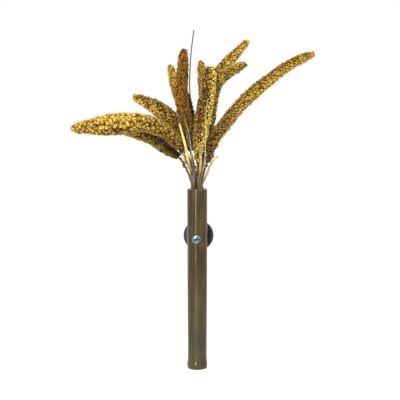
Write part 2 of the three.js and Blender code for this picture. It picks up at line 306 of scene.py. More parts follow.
def loft(rings, block=WHOLE_UV):
    """The points, faces and UVs of a skin over rings of points, closed by a flat fan at each end, with
    its faces outwards. The skin fills a block of UV space, and each fan takes the share CAP_UV of it."""
    rows, sides, _ = rings.shape
    points = np.concatenate([rings.reshape(-1, 3), rings[[0, -1]].mean(axis=1)])
    faces, uvs = closed_skin(sides, [0, *np.linspace(CAP_UV, 1 - CAP_UV, rows), 1])
    if volume_of(points, faces) < 0:
        faces = [part[:, ::-1] for part in faces]
        uvs = [part[:, ::-1] for part in uvs]
    low, high = np.array(block[:2]), np.array(block[2:])
    return points, faces, [lerp(low, high, part) for part in uvs]


def volume_of(points, faces):
    """The volume inside a closed skin, below zero where its faces look inwards."""
    triangles = np.concatenate([part[:, [0, corner, corner + 1]]
                                for part in faces for corner in range(1, part.shape[1] - 1)])
    first, second, third = (points[triangles[:, corner]] - points[0] for corner in range(3))
    return np.sum(first * np.cross(second, third)) / 6


def turned(first, second, angles):
    """Directions turned by these angles from the first direction towards the second."""
    return first * np.cos(angles)[..., None] + second * np.sin(angles)[..., None]


def swept_rings(spine, places, radii, sides, shape=None):
    """Rings round a spine at these places. shape(angles, rows) multiplies the radius."""
    points, _, across, over, _ = spine.at(places)
    angles = round_angles(sides)
    reach = np.repeat(radii[:, None], sides, axis=1)
    if shape is not None:
        reach = reach * shape(angles[None, :], np.arange(len(places))[:, None])
    return points[:, None] + turned(across[:, None], over[:, None], angles) * reach[..., None]


STAMP_UV_EDGE = 0.08
STAMP_UV_SIZE = 0.9


class Stamp:
    """A small closed shape round +Z that is copied many times, each copy with its own cell of UV space.
    heights has the two points at the ends and the rings between them, and widths has the rings."""

    def __init__(self, heights, widths, sides):
        angles = round_angles(sides)
        rings = [np.stack([width * np.cos(angles), width * np.sin(angles), np.full(sides, height)], axis=-1)
                 for height, width in zip(heights[1:-1], widths)]
        self.points = np.concatenate([*rings, [[0, 0, heights[0]], [0, 0, heights[-1]]]])
        v = np.linspace(STAMP_UV_EDGE, 1 - STAMP_UV_EDGE, len(heights))
        self.faces, self.uvs = closed_skin(sides, v)

    def copies(self, centres, directions, widths, lengths, random, block, flatness=1.0):
        """The points, faces and UVs of a copy at each centre, its long way along its direction."""
        count = len(centres)
        helper = unit(random.normal(size=(count, 3)))
        first = unit(np.cross(directions, helper))
        second = np.cross(directions, first)
        x, y, z = self.points.T
        points = (centres[:, None]
                  + first[:, None] * (widths[:, None] * x)[..., None]
                  + second[:, None] * (widths[:, None] * flatness * y)[..., None]
                  + directions[:, None] * (lengths[:, None] * z)[..., None])
        low, room = np.array(block[:2]), np.subtract(block[2:], block[:2])
        columns = math.ceil(math.sqrt(count * room[0] / room[1]))
        room = room / [columns, math.ceil(count / columns)]
        number = np.arange(count)
        cell = low + np.stack([number % columns, number // columns], axis=-1) * room
        faces = [(part[None] + (number * len(self.points))[:, None, None]).reshape(-1, part.shape[1])
                 for part in self.faces]
        uvs = [(cell[:, None, None] + part[None] * room * STAMP_UV_SIZE).reshape(-1, part.shape[1], 2)
               for part in self.uvs]
        return points, faces, uvs


GRAIN = Stamp(heights=[-1, -0.6, 0.02, 0.62, 1], widths=[0.62, 1.0, 0.66], sides=6)
BRISTLE = Stamp(heights=[0, 0.02, 1], widths=[1.0], sides=3)


def put(piece, stands_for=None):
    """Fixes a piece to the one body, in the place of a CAD node where it stands for one."""
    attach(piece, "root")
    if stands_for is not None:
        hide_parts(stands_for)


# ---------------- materials

class Nodes:
    """One node material. An input is a number, a colour or another node's output."""

    def __init__(self, name):
        self.material = bpy.data.materials.new(name)
        self.material.use_nodes = True
        self.tree = self.material.node_tree
        self.shader = self.tree.nodes["Principled BSDF"]

    def feed(self, socket, value):
        if isinstance(value, bpy.types.NodeSocket):
            self.tree.links.new(value, socket)
        else:
            socket.default_value = value

    def make(self, kind, inputs, **settings):
        node = self.tree.nodes.new(kind)
        for name, value in settings.items():
            setattr(node, name, value)
        for name, value in inputs.items():
            self.feed(node.inputs[name], value)
        return node

    def set(self, **inputs):
        for name, value in inputs.items():
            self.feed(self.shader.inputs[name.replace("_", " ")], value)

    def noise(self, size, detail=3.0, roughness=0.55, stretch=(1, 1, 1)):
        """Noise with spots of about size millimetres, drawn out along an axis by stretch."""
        where = self.make("ShaderNodeTexCoord", {}).outputs["Object"]
        scale = [1 / (MM * drawn) for drawn in stretch]
        where = self.make("ShaderNodeMapping", {"Vector": where, "Scale": scale}).outputs["Vector"]
        inputs = {"Vector": where, "Scale": 1 / size, "Detail": detail, "Roughness": roughness}
        return self.make("ShaderNodeTexNoise", inputs).outputs["Fac"]

    def value(self, name):
        return self.make("ShaderNodeAttribute", {}, attribute_name=name).outputs["Fac"]

    def ramp(self, factor, stops):
        node = self.make("ShaderNodeValToRGB", {"Fac": factor})
        elements = node.color_ramp.elements
        while len(elements) < len(stops):
            elements.new(0.5)
        for element, (position, colour) in zip(elements, stops):
            element.position = position
            element.color = colour
        return node.outputs["Color"]

    def math(self, operation, first, second=0.0, third=0.0):
        node = self.make("ShaderNodeMath", {}, operation=operation)
        for socket, value in zip(node.inputs, (first, second, third)):
            self.feed(socket, value)
        return node.outputs[0]

    def mix(self, factor, first, second):
        node = self.make("ShaderNodeMix", {}, data_type="RGBA")
        for number, value in ((0, factor), (6, first), (7, second)):
            self.feed(node.inputs[number], value)
        return node.outputs[2]

    def span(self, value, low, high, to_low, to_high):
        inputs = {"Value": value, "From Min": low, "From Max": high, "To Min": to_low, "To Max": to_high}
        return self.make("ShaderNodeMapRange", inputs).outputs["Result"]

    def bump(self, height, depth, strength):
        """A bump of depth millimetres."""
        inputs = {"Height": height, "Distance": depth * MM, "Strength": strength}
        return self.make("ShaderNodeBump", inputs).outputs["Normal"]


# The tones of a grain, from the gaps to the lit tips: the place on the ramp, and the shares of the middle
# colour's red, green and blue. Darker ones are redder and lighter ones are paler.
TONES = ((0.05, 0.3, 0.22, 0.12), (0.35, 0.62, 0.56, 0.4), (0.65, 1, 1, 0.95), (1.0, 1.28, 1.34, 1.6))
PALEST = (240, 226, 255)
TINT_WEIGHT = 0.62
SPOT_WEIGHT = 0.2
DARKENING = 0.48


def tones(middle):
    return [(place, srgb(*np.minimum(PALEST, np.multiply(shares, middle)))) for place, *shares in TONES]


def grain_material(name, tip, base):
    """Seed grains: dark in the gaps and golden on the outside, each a little different, with one
    middle colour at the tip of the head and another at its base. The dark in the gaps is partly painted
    shade, set by each point's shade value."""
    nodes = Nodes(name)
    spots = nodes.noise(1.1, detail=2.0)
    level = nodes.math("MULTIPLY_ADD", nodes.value("tint"), TINT_WEIGHT, nodes.value("shade"))
    level = nodes.math("MULTIPLY_ADD", spots, SPOT_WEIGHT, nodes.math("SUBTRACT", level, DARKENING))
    colour = nodes.mix(nodes.value("base"), nodes.ramp(level, tones(tip)), nodes.ramp(level, tones(base)))
    nodes.set(Base_Color=colour, Roughness=nodes.span(spots, 0, 1, 0.5, 0.75),
              Normal=nodes.bump(nodes.noise(0.35), 0.08, 0.6), Specular_IOR_Level=0.15)
    return nodes.material


def bristle_material():
    nodes = Nodes("bristles")
    colour = nodes.ramp(nodes.value("tint"), [(0.0, srgb(88, 64, 26)), (1.0, srgb(190, 158, 84))])
    nodes.set(Base_Color=colour, Roughness=nodes.span(nodes.noise(2.0), 0, 1, 0.5, 0.75))
    return nodes.material


def clouded(name, clouds, stops, roughness, bump=None, pits=None, **settings):
    """A material whose colour and roughness follow one noise. clouds says which noise, stops is its
    colour ramp, and roughness is what it is mapped from and to. bump is the depth in millimetres and
    the strength of a bump, which follows a noise of its own, pits, or else the same one."""
    nodes = Nodes(name)
    level = nodes.noise(**clouds)
    if bump is not None:
        settings["Normal"] = nodes.bump(nodes.noise(**pits) if pits else level, *bump)
    nodes.set(Base_Color=nodes.ramp(level, stops), Roughness=nodes.span(level, *roughness), **settings)
    return nodes.material


def fibre_material(name, dark, middle, light, size=0.5):
    """A dry stem or leaf: fine streaks along its length, broken by blotches. size is the width of a
    streak in millimetres."""
    nodes = Nodes(name)
    streaks = nodes.noise(size, detail=4.0, stretch=(1, 1, 14))
    blotches = nodes.noise(7.0, detail=3.0)
    level = nodes.math("MULTIPLY_ADD", blotches, 0.6, nodes.math("MULTIPLY", streaks, 0.7))
    level = nodes.math("ADD", level, nodes.value("tone"))
    nodes.set(Base_Color=nodes.ramp(level, [(0.35, dark), (0.65, middle), (0.95, light)]),
              Roughness=nodes.span(blotches, 0.3, 0.7, 0.45, 0.7),
              Normal=nodes.bump(streaks, 0.12, 0.5))
    return nodes.material


# ---------------- seed heads

GRAIN_HALF_WIDTH = 0.81 * MM
GRAIN_HALF_LENGTH = 1.05 * MM
GRAIN_FLATNESS = 0.86
USUAL_PITCH = 4.4
GRAINS_AT_USUAL_PITCH = 12.5
FULL_GRAIN_PITCH = 3.6 * MM
# Shares of the pitch squared, the pitch and the lobe's radius
LOBE_ROOM = 0.8
LOBE_RADIUS = 0.52
LOBE_HEIGHT = 1.05
OUTSET = 0.7 * MM
SWELL = 0.3 * MM
LOBE_TINT = 0.58
# How light the top of a lobe is, and how much darker its edge and the root of a grain are: painted
# shade in the gaps between lobes and grains, over the darker glumes that sit there
TOP_SHADE = 0.92
EDGE_DARKENING = 0.6
ROOT_DARKENING = 0.4
BRISTLE_RADIUS = 0.12 * MM
BRISTLE_ROOT = 2.4 * MM
WALL_GAP = 2.2 * MM
CORE_SIDES = 22
CORE_ROW = 1.1 * MM
CORE_DEPTH = 0.5 * MM
CORE_LEAST = 0.9 * MM
# Blocks of a head's UV space
GRAINS_UV = (0, 0.2, 1, 1)
CORE_UV = (0, 0, 0.6, 0.2)
BRISTLES_UV = (0.6, 0, 1, 0.2)


def lobe_places(spine, pitch, random):
    """Where the lobes of grains stand: on a spiral that turns by the golden angle, so that they make
    oblique rows, each with about the same room. The last lobe closes the tip."""
    places = []
    place = 0.3 * pitch
    while place < spine.length - 0.25 * pitch:
        places.append(place)
        half = spine.half_at(place) + OUTSET / 2
        place += LOBE_ROOM * pitch ** 2 / (2 * math.pi * half)
    angles = np.arange(len(places)) * GOLDEN_ANGLE + random.normal(0, 0.1, len(places))
    places = np.array(places) + random.normal(0, 0.12 * pitch, len(places))
    places = np.clip(places, 0.1 * pitch, spine.length - 0.1 * pitch)
    return np.append(places, spine.length), np.append(angles, 0.0)


class Lobes:
    """The lobes of a head: the top of each, its radius and height, and three directions. normal is
    outwards, forward is towards the tip and aside is square to both."""

    def __init__(self, spine, pitch, ragged, base_reach, random):
        places, angles = lobe_places(spine, pitch, random)
        share = places / spine.length
        kept = random.uniform(size=len(places)) > ragged * (1 - smoothstep(0.0, 0.3, share))
        kept[-1] = True
        places, angles, share = places[kept], angles[kept], share[kept]
        is_tip = places >= spine.length
        middle, tangent, across, over, half = spine.at(places)
        outward = turned(across, over, angles)
        slope = np.gradient(spine.half, spine.places)
        tilt = np.clip(-np.interp(places, spine.places, slope), -0.6, 1.6)
        normal = unit(outward + tangent * tilt[:, None])
        normal[is_tip] = tangent[is_tip]
        half[is_tip] = 0
        forward = np.where(is_tip[:, None], outward, tangent)
        forward = unit(forward - normal * np.sum(forward * normal, axis=1, keepdims=True))
        self.count = len(places)
        self.pitch = pitch
        self.at_base = 1 - smoothstep(0.0, base_reach, share)
        swell = SWELL * waves(places / MM * 0.15 + angles * 0.7, random)
        lift = OUTSET + random.normal(0, 0.28 * MM, self.count) * (1 + self.at_base) + swell
        lift[is_tip] = 0.7 * OUTSET
        self.top = middle + outward * half[:, None] + normal * lift[:, None]
        self.normal, self.forward, self.aside = normal, forward, np.cross(normal, forward)
        self.radius = LOBE_RADIUS * pitch * (1 + random.uniform(-0.2, 0.16, self.count))
        self.height = LOBE_HEIGHT * self.radius


def add_grains(shape, lobes, grains, darker, random):
    """The grains of each lobe, spread over its dome. darker is how much each lobe is darkened, as
    painted shade on the side of the head that the light misses.
    """
    number = np.arange(grains)
    spread = np.sqrt((number + 0.3) / grains)
    bearing = number * GOLDEN_ANGLE + random.uniform(0, 2 * math.pi, lobes.count)[:, None]
    normal, forward, aside = (rows[:, None] for rows in (lobes.normal, lobes.forward, lobes.aside))
    sideways = turned(forward, aside, bearing)
    reach = (spread * lobes.radius[:, None])[..., None]
    sink = lobes.height[:, None] * (1 - np.sqrt(1 - 0.92 * spread ** 2)) + GRAIN_HALF_LENGTH * 0.8
    centres = lobes.top[:, None] + sideways * reach - normal * sink[..., None]
    centres = centres + random.normal(0, 0.08 * MM, centres.shape)
    directions = unit(normal + sideways * (1.1 * spread)[None, :, None] + forward * 0.3
                      + random.normal(0, 0.12, centres.shape))
    count = lobes.count * grains
    size = random.uniform(0.86, 1.14, count) * min(1.0, lobes.pitch / FULL_GRAIN_PITCH) ** 0.5
    tint = (LOBE_TINT * np.repeat(random.uniform(0, 1, lobes.count), grains)
            + (1 - LOBE_TINT) * random.uniform(0, 1, count))
    # Painted shade: each lobe is darker at its edge and on the head's shaded side, and each grain is darker
    # towards its root.
    top_shade = TOP_SHADE - EDGE_DARKENING * np.tile(spread ** 2, lobes.count) - np.repeat(darker, grains)
    depth = (1 - GRAIN.points[:, 2]) / 2
    shade = top_shade[:, None] - ROOT_DARKENING * depth[None, :] ** 1.3
    shape.add(*GRAIN.copies(centres.reshape(-1, 3), directions.reshape(-1, 3), GRAIN_HALF_WIDTH * size,
                            GRAIN_HALF_LENGTH * size, random, GRAINS_UV, GRAIN_FLATNESS),
              tint=np.broadcast_to(tint[:, None], shade.shape), shade=shade,
              base=np.repeat(lobes.at_base, grains * len(GRAIN.points)))


def add_core(shape, spine, lobes, random):
    """The lumpy core that fills the head under the lobes, at the dark end of the grain tones: painted
    shade deep between the lobes.
    """
    rows = max(24, int(spine.length / CORE_ROW))
    places = np.linspace(0, spine.length, rows)
    radii = spine.half_at(places) - 0.8 * lobes.height.mean() - CORE_DEPTH
    radii = np.maximum(radii, CORE_LEAST)
    radii[0] = radii[-1] = CORE_DEPTH
    lumps = 1 + random.uniform(-0.35, 0.35, (rows, CORE_SIDES)) * (MM / radii)[:, None]
    rings = swept_rings(spine, places, radii, CORE_SIDES, lambda angle, row: lumps)
    shape.add(*loft(rings, CORE_UV), tint=0.3, shade=0.14, base=0.5)


def add_bristles(shape, lobes, bristles, length, random):
    """A few bristles from each lobe, but none where they would reach the wall."""
    clear = lobes.top[:, 1] + lobes.normal[:, 1] * length < -WALL_GAP
    lobe = np.repeat(np.flatnonzero(clear), bristles)
    total = len(lobe)
    normal, forward, aside = lobes.normal[lobe], lobes.forward[lobe], lobes.aside[lobe]
    lean = unit(normal + forward * random.uniform(0.0, 0.9, total)[:, None]
                + aside * random.normal(0, 0.4, total)[:, None])
    wander = (forward * random.normal(0, 0.35, total)[:, None]
              + aside * random.normal(0, 0.35, total)[:, None]) * lobes.pitch
    start = lobes.top[lobe] + wander - normal * BRISTLE_ROOT
    lengths = length * random.uniform(0.65, 1.15, total)
    copies = BRISTLE.copies(start, lean, np.full(total, BRISTLE_RADIUS), lengths, random, BRISTLES_UV)
    tint = np.repeat(random.uniform(0, 1, total), len(BRISTLE.points))
    shape.add(*copies, slot=1, tint=tint, shade=1.0, base=0.0)


def seed_head(name, seed, pitch, tip, base, ragged=0.1, shadow=(0, 0, 1), shadow_depth=0.0, bristles=5,
              bristle_length=4.3, base_reach=0.45):
    """A seed head: lobes of grains on a dark core, with a few bristles from each lobe.

    pitch is the distance between lobes in millimetres, and tip and base are the middle colours there.
    ragged is the share of lobes missing at the base. shadow is a direction whose side of the head is
    darker by shadow_depth: painted shade on the side that the light misses. bristle_length is in
    millimetres, and base_reach is how far along the head its base colour goes.
    """
    random = np.random.default_rng(seed)
    spine = Spine("head_" + name)
    lobes = Lobes(spine, pitch * MM, ragged, base_reach, random)
    grains = max(5, round(GRAINS_AT_USUAL_PITCH * (pitch / USUAL_PITCH) ** 1.7))
    in_shadow = smoothstep(-0.35, 0.75, lobes.normal @ unit(np.array(shadow, float)))
    shape = Shape()
    add_grains(shape, lobes, grains, shadow_depth * in_shadow * (1 - 0.5 * lobes.at_base), random)
    add_core(shape, spine, lobes, random)
    add_bristles(shape, lobes, bristles, bristle_length * MM, random)
    piece = shape.build("millet_" + name, [grain_material("grain_" + name, tip, base), BRISTLES])
    put(piece, "head_" + name)


BRISTLES = bristle_material()
GOLD = (182, 148, 60)
PALE_GOLD = (206, 172, 84)
WARM_GOLD = (168, 134, 50)
DULL_GOLD = (150, 120, 42)
AMBER = (130, 86, 14)
BROWN = (116, 88, 24)
UMBER = (84, 62, 20)
PLUM = (94, 72, 42)

# The shadow arguments paint shade on the side of each head that the light misses: the underside of
# low_left, the top of under_left where low_left shades it, and the left and front of middle. The pale
# colour of middle and the pale base of bent_right partly stand for the light on their lit ridges.
seed_head("low_left", 11, 4.35, GOLD, BROWN, shadow=(0.1, 0.2, -1), shadow_depth=0.22, bristles=9,
          bristle_length=4.7, base_reach=0.6)
seed_head("under_left", 12, 3.7, DULL_GOLD, UMBER, ragged=0.25, shadow=(0.2, -0.2, 1), shadow_depth=0.8,
          base_reach=0.8)
seed_head("upper_left", 13, 3.5, GOLD, BROWN, shadow=(0.5, 0, 1), shadow_depth=0.2, base_reach=0.75)
seed_head("tall_left", 14, 3.2, AMBER, UMBER, shadow=(1, 0, 0.1), shadow_depth=0.1, base_reach=0.7)
seed_head("behind_left", 15, 2.9, WARM_GOLD, BROWN, base_reach=0.8)
seed_head("back_left", 16, 3.2, UMBER, UMBER, shadow=(1, 0, 0), shadow_depth=0.25)
seed_head("back_middle", 17, 2.9, WARM_GOLD, BROWN, base_reach=0.8)
seed_head("middle", 18, 3.1, PALE_GOLD, PALE_GOLD, shadow=(-0.8, -0.6, 0), shadow_depth=0.44,
          base_reach=0.6)
seed_head("bent_right", 19, 3.1, DULL_GOLD, PALE_GOLD, shadow=(0.2, 0, -1), shadow_depth=0.12,
          base_reach=0.9)
seed_head("upper_right", 20, 3.0, GOLD, DULL_GOLD, shadow=(-0.7, 0, 0.7), shadow_depth=0.16)
seed_head("far_right", 21, 3.13, WARM_GOLD, PLUM, shadow=(-0.6, 0, 0.6), shadow_depth=0.2,
          base_reach=0.6)


# ---------------- stems

STEM_SIDES = 14
STEM_ROW = 1.2 * MM
NODE_HALF_LENGTH = 1.1 * MM
OLIVE = fibre_material("stem_olive", srgb(36, 28, 10), srgb(80, 64, 26), srgb(128, 108, 54))
TAN = fibre_material("stem_tan", srgb(46, 30, 10), srgb(94, 68, 28), srgb(146, 116, 60))
PURPLE = fibre_material("stem_purple", srgb(28, 18, 12), srgb(58, 42, 30), srgb(98, 76, 56))


def ring_values(values, sides):
    """Values for a loft's points from one for each ring. The middle of a cap has its ring's value."""
    return np.concatenate([np.repeat(values, sides), values[[0, -1]]])


def stem(name, seed, material):
    """A stem with fine ridges and a slight swelling at its node."""
    random = np.random.default_rng(seed)
    spine = Spine("stem_" + name)
    places = np.linspace(0, spine.length, int(spine.length / STEM_ROW))
    radii = spine.half_at(places)
    node = spine.length * random.uniform(0.68, 0.86)
    swelling = np.exp(-((places - node) / NODE_HALF_LENGTH) ** 2)
    radii = radii * (1.0 + 0.2 * swelling + 0.05 * waves(places / MM * 0.5, random))
    ridges = random.integers(6, 9)

    def ridged(angle, row):
        return 1 + 0.05 * np.cos(ridges * angle + row * 0.02)

    tone = 0.12 * waves(places / MM * 0.15, random) - 0.25 * swelling
    shape = Shape()
    shape.add(*loft(swept_rings(spine, places, radii, STEM_SIDES, ridged)),
              tone=ring_values(tone, STEM_SIDES))
    put(shape.build("stalk_" + name, [material]), "stem_" + name)


STEMS = {"low_left": OLIVE, "under_left": PURPLE, "upper_left": TAN, "tall_left": PURPLE,
         "behind_left": OLIVE, "back_left": TAN, "back_middle": OLIVE, "middle": TAN,
         "bent_right": OLIVE, "upper_right": PURPLE, "far_right": TAN}
for stem_seed, (stem_name, stem_material) in enumerate(STEMS.items(), start=31):
    stem(stem_name, stem_seed, stem_material)


# ---------------- leaves and straws

STRAW = fibre_material("straw_pale", srgb(74, 64, 22), srgb(164, 144, 74), srgb(206, 188, 120), size=0.35)
LEAF = fibre_material("straw_green", srgb(62, 54, 18), srgb(124, 108, 48), srgb(178, 160, 96), size=0.35)
SHEATH = fibre_material("sheath_purple", srgb(30, 20, 16), srgb(60, 43, 37), srgb(104, 84, 72), size=0.4)
LEAF_COLUMNS = 11
LEAF_ROW = 1.0 * MM
LEAF_THICKNESS = 0.24 * MM
VEIN_HEIGHT = 0.06 * MM
LEAF_CREASE = math.radians(50)
FIBRE_RADIUS = 0.16 * MM


def blade_rings(middle, across, over, width, depth):
    """Rings round a thin blade from its middle line and two cross directions: each point of the blade
    is width across and depth over from the line."""
    line, across, over = middle[:, None], across[:, None], over[:, None]
    top, low = (line + across * width[..., None] + over * (depth + offset)[..., None]
                for offset in (LEAF_THICKNESS / 2, -LEAF_THICKNESS / 2))
    return np.concatenate([top, low[:, ::-1]], axis=1)


def leaf(name, seed, material, gutter, wavy=0.08, slim=0.8, fray=0):
    """A dry leaf or split straw: a thin blade with raised veins, folded along its middle like a
    gutter of that depth, as a share of its width. Above the mouth it narrows to the share slim of the
    CAD solid's width. fray is the number of loose fibres at its tip."""
    random = np.random.default_rng(seed)
    spine = Spine(name, flat=True)
    rows = max(40, int(spine.length / LEAF_ROW))
    places = np.linspace(0, spine.length, rows)
    middle, tangent, across, over, half = spine.at(places)
    share = places / spine.length
    half = half * lerp(1.0, slim, smoothstep(0.3, 0.6, share))
    half = half * (1 + wavy * waves(places / MM * 0.35, random))
    column = np.linspace(-1, 1, LEAF_COLUMNS)
    fold = gutter * (0.6 + 0.4 * waves(places / MM * 0.12, random))
    width = half[:, None] * column * np.cos(fold)[:, None]
    depth = half[:, None] * fold[:, None] * (column ** 2 - 0.4) + VEIN_HEIGHT * np.cos(column * math.pi * 4)
    tone = 0.1 * waves(places / MM * 0.1, random) + lerp(-0.38, 0.08, smoothstep(0.25, 0.75, share))
    shape = Shape()
    shape.add(*loft(blade_rings(middle, across, over, width, depth)),
              tone=ring_values(tone, 2 * LEAF_COLUMNS))
    if fray:
        root = np.full(fray, rows - 4)
        reach = random.uniform(-0.9, 0.9, fray)
        start = middle[root] + across[root] * (reach * half[root])[:, None]
        lean = unit(tangent[root] + across[root] * (0.5 * reach + random.normal(0, 0.12, fray))[:, None]
                    + over[root] * random.normal(0, 0.15, fray)[:, None])
        shape.add(*BRISTLE.copies(start, lean, np.full(fray, FIBRE_RADIUS), random.uniform(3, 7, fray) * MM,
                                  random, WHOLE_UV), tone=0.2)
    put(shape.build(name + "_blade", [material], LEAF_CREASE), name)


leaf("long_straw", 51, STRAW, gutter=0.45, slim=0.95)
leaf("short_straw", 52, LEAF, gutter=0.4, slim=0.6)
leaf("purple_sheath", 53, SHEATH, gutter=0.5, slim=1.0)
leaf("curled_leaf", 54, LEAF, gutter=0.6, wavy=0.15)
leaf("pale_straw", 55, STRAW, gutter=0.4, slim=0.6)
leaf("right_leaf", 56, LEAF, gutter=0.5, wavy=0.12, slim=1.0, fray=22)


GRAINS_IN_CLUMP = 9
CLUMP_SPREAD = 0.55 * MM


def loose_grains(name, seed, low, clumps, reach, colour):
    """Small clumps of grains that cling to a stem, from the share low of its length up to its head and
    up to reach millimetres from it."""
    random = np.random.default_rng(seed)
    spine = Spine("stem_" + name)
    steps = (np.arange(clumps) + random.uniform(0.1, 0.9, clumps)) / clumps
    middle, tangent, across, over, half = spine.at(lerp(low, 1.0, steps) * spine.length)
    angles = random.uniform(0, 2 * math.pi, clumps)
    outward = turned(across, over, angles)
    away = half + random.uniform(0.5, 1, clumps) * reach * MM
    clump = np.repeat(np.arange(clumps), GRAINS_IN_CLUMP)
    count = len(clump)
    centres = (middle + outward * away[:, None])[clump] + random.normal(0, CLUMP_SPREAD, (count, 3))
    directions = unit(outward[clump] + tangent[clump] * 0.6 + random.normal(0, 0.7, (count, 3)))
    size = random.uniform(0.8, 1.2, count)
    copies = GRAIN.copies(centres, directions, GRAIN_HALF_WIDTH * size, GRAIN_HALF_LENGTH * size, random,
                          WHOLE_UV)
    shape = Shape()
    # Each grain is darker towards its root end, as painted shade inside the clump.
    shape.add(*copies, tint=np.repeat(random.uniform(0, 1, count), len(GRAIN.points)),
              shade=np.tile(0.625 + 0.175 * GRAIN.points[:, 2], count), base=0.0)
    put(shape.build("loose_grains_" + name, [grain_material("loose_" + name, colour, colour)]))


loose_grains("under_left", 71, 0.8, 7, 0.4, BROWN)
loose_grains("low_left", 72, 0.84, 6, 0.7, WARM_GOLD)
loose_grains("middle", 73, 0.8, 4, 0.4, BROWN)
loose_grains("bent_right", 74, 0.8, 5, 0.5, PLUM)
loose_grains("far_right", 75, 0.74, 6, 0.5, PLUM)

STRIP_ROWS = 48
STRIP_LIFT = 1.7 * MM


def sheath_strip(name, seed, low, high, side, width, material):
    """A torn strip of leaf sheath that lies along one side of a seed head, between two shares of its
    length. side is the direction from the head's middle and width is in millimetres."""
    random = np.random.default_rng(seed)
    spine = Spine("head_" + name)
    share = np.linspace(0, 1, STRIP_ROWS)
    middle, tangent, _, _, half = spine.at(lerp(low, high, share) * spine.length)
    toward = np.array(side, float)
    outward = unit(toward - tangent * (tangent @ toward)[:, None])
    across = np.cross(tangent, outward)
    lift = half + STRIP_LIFT + 0.35 * MM * waves(share * 6, random)
    half_width = width / 2 * MM * np.sin(math.pi * lerp(0.12, 0.95, share)) ** 0.6
    half_width = half_width * (1 + 0.25 * waves(share * 14, random))
    column = np.linspace(-1, 1, LEAF_COLUMNS)
    rings = blade_rings(middle + outward * lift[:, None], across, outward, half_width[:, None] * column,
                        -0.35 * half_width[:, None] * column ** 2)
    tone = 0.14 * waves(share * 8, random)
    shape = Shape()
    shape.add(*loft(rings), tone=ring_values(tone, 2 * LEAF_COLUMNS))
    put(shape.build("sheath_strip_" + name, [material], LEAF_CREASE))


sheath_strip("far_right", 81, 0.1, 0.36, (0.75, -0.55, -0.5), 1.5, STRAW)
sheath_strip("upper_left", 82, 0.22, 0.42, (0.4, -0.6, 0.7), 2.4, SHEATH)
sheath_strip("tall_left", 83, 0.0, 0.24, (0.1, -1, 0), 2.2, SHEATH)


AWN_RADIUS = 0.54 * MM
AWN_ROWS = 150
AWN_SIDES = 8


def awn():
    """The one long dark bristle that stands above the seed heads."""
    random = np.random.default_rng(61)
    spine = Spine("awn")
    places = np.linspace(0, spine.length, AWN_ROWS)
    radii = np.maximum(spine.half_at(places), AWN_RADIUS)
    radii = radii * (1 + 0.12 * waves(places / MM * 0.8, random))
    shape = Shape()
    shape.add(*loft(swept_rings(spine, places, radii, AWN_SIDES)), tone=-0.3)
    put(shape.build("long_awn", [PURPLE]), "awn")


awn()


# ---------------- bamboo tube

TUBE_SIDES = 96
TUBE_ROWS = 120
TUBE_EDGE = 0.35 * MM
SKIN_OUTSET = 0.15 * MM
AXIS_GAP = 0.02 * MM
COLLAR_HEIGHT = 6 * MM
COLLAR_RISE = 0.22 * MM
SCAR_HEIGHT = 7.6 * MM
SCAR_DEPTH = 0.3 * MM
UNEVENNESS = 0.07 * MM
RIBS = 23
RIB_HEIGHT = 0.035 * MM
CHIP_DEPTH = 0.9 * MM
WEAR_DEPTH = 0.8 * MM
SKIN, CUT, BARE = range(3)


def out_from(centre, points, first, second):
    """How far points are from a line through a centre, measured in two of the axes."""
    return np.hypot(points[:, first] - centre[first], points[:, second] - centre[second])


def bamboo_skin():
    nodes = Nodes("bamboo_skin")
    streaks = nodes.noise(0.7, detail=5.0, stretch=(1, 1, 40))
    fine = nodes.noise(0.25, detail=3.0, stretch=(1, 1, 60))
    blotches = nodes.noise(14.0, detail=4.0, stretch=(1, 1, 3))
    level = nodes.math("MULTIPLY_ADD", blotches, 0.55, nodes.math("MULTIPLY", streaks, 0.75))
    level = nodes.math("SUBTRACT", level, 0.15)
    brown = nodes.ramp(level, [(0.2, srgb(26, 18, 6)), (0.5, srgb(53, 40, 16)), (0.85, srgb(90, 74, 38))])
    grey = nodes.ramp(level, [(0.2, srgb(28, 24, 13)), (0.5, srgb(53, 46, 26)), (0.85, srgb(90, 82, 56))])
    skin = nodes.mix(nodes.value("low"), brown, grey)
    scuffs = nodes.noise(3.2, detail=5.0, roughness=0.7, stretch=(1, 1, 2.5))
    scuffed = nodes.span(scuffs, 0.62, 0.76, 0, 0.6)
    nodes.set(Base_Color=nodes.mix(scuffed, skin, srgb(118, 104, 74)),
              Roughness=nodes.span(blotches, 0.3, 0.7, 0.14, 0.26),
              Normal=nodes.bump(fine, 0.03, 0.3), Specular_IOR_Level=0.23)
    return nodes.material


